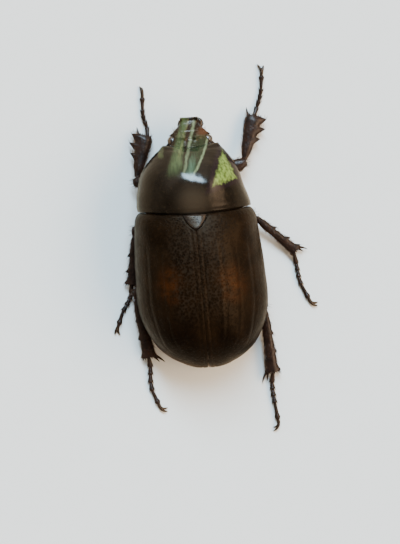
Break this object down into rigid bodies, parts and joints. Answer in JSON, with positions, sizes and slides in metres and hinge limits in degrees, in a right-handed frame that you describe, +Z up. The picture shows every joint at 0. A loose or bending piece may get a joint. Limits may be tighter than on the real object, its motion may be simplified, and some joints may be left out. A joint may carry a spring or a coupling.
{
  "type": "heterogomphus hirtus beetle, life-size model",
  "caption": "Life-size rhinoceros beetle lying on its belly with its legs spread, a still museum model of a dried specimen.",
  "frame": {"origin": "middle of the floor rectangle that the whole beetle covers, at floor level", "axes": "+Y from the head towards the tail, +X to the beetle's left, +Z up"},
  "size_m": [0.0332, 0.0594, 0.0153],
  "materials": {
    "elytra": "finely wrinkled dark brown chitin, satin gloss",
    "pronotum": "polished brown-black chitin",
    "underside": "reddish brown punctate chitin with tan hair",
    "legs": "brown-black chitin, satin",
    "claws": "black horny chitin, gloss",
    "eyes": "smooth dark compound eye, high gloss"
  },
  "bodies": {
    "root": {"pronotum": "pronotum", "prothorax": "underside", "elytron_left": "elytra", "elytron_right": "elytra", "scutellum": "elytra", "thorax": "underside", "abdomen": "underside", "pygidium": "underside", "head": "pronotum", "eye_left": "eyes", "eye_right": "eyes", "mandible_left": "claws", "mandible_right": "claws", "palp_left": "legs", "palp_right": "legs", "antenna_left": "legs", "antenna_right": "legs", "coxa_fore_left": "legs", "femur_fore_left": "legs", "tibia_fore_left": "legs", "tarsus_fore_left": "legs", "claws_fore_left": "claws", "coxa_fore_right": "legs", "femur_fore_right": "legs", "tibia_fore_right": "legs", "tarsus_fore_right": "legs", "claws_fore_right": "claws", "coxa_middle_left": "legs", "femur_middle_left": "legs", "tibia_middle_left": "legs", "tarsus_middle_left": "legs", "claws_middle_left": "claws", "coxa_middle_right": "legs", "femur_middle_right": "legs", "tibia_middle_right": "legs", "tarsus_middle_right": "legs", "claws_middle_right": "claws", "coxa_hind_left": "legs", "femur_hind_left": "legs", "tibia_hind_left": "legs", "tarsus_hind_left": "legs", "claws_hind_left": "claws", "coxa_hind_right": "legs", "femur_hind_right": "legs", "tibia_hind_right": "legs", "tarsus_hind_right": "legs", "claws_hind_right": "claws"}
  },
  "joints": []
}
